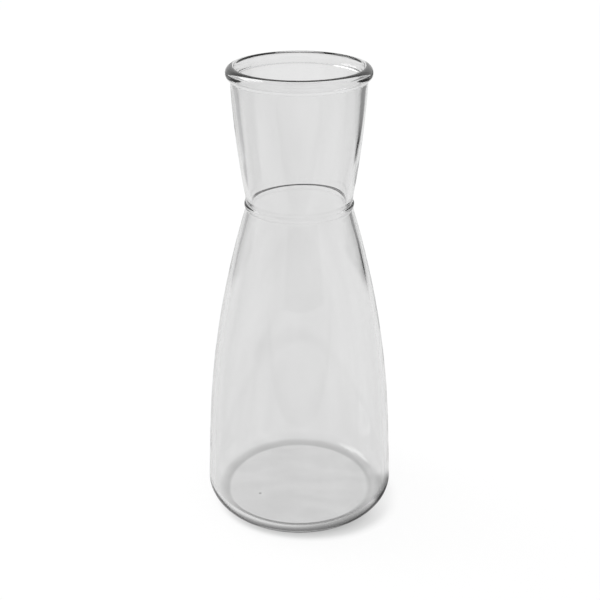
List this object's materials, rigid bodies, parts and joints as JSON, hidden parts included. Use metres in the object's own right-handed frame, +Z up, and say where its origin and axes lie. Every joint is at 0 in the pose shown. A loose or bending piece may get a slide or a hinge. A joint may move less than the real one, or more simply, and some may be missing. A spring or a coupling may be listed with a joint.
{
  "type": "carafe",
  "caption": "Clear glass carafe: a body that narrows from a rounded heel to a ringed waist, a neck that opens again and a thick round lip.",
  "frame": {"origin": "middle of the underside, in the plane that the carafe stands on", "axes": "+Z up along the carafe's axis, from the standing ring to the lip; X and Y are alike, because the form is turned"},
  "size_m": [0.1056, 0.1056, 0.25],
  "materials": {
    "clear_glass": "clear colourless soda-lime glass, smooth and glossy, very faintly grey through its thick parts"
  },
  "bodies": {
    "root": {"carafe": "clear_glass"}
  },
  "joints": []
}
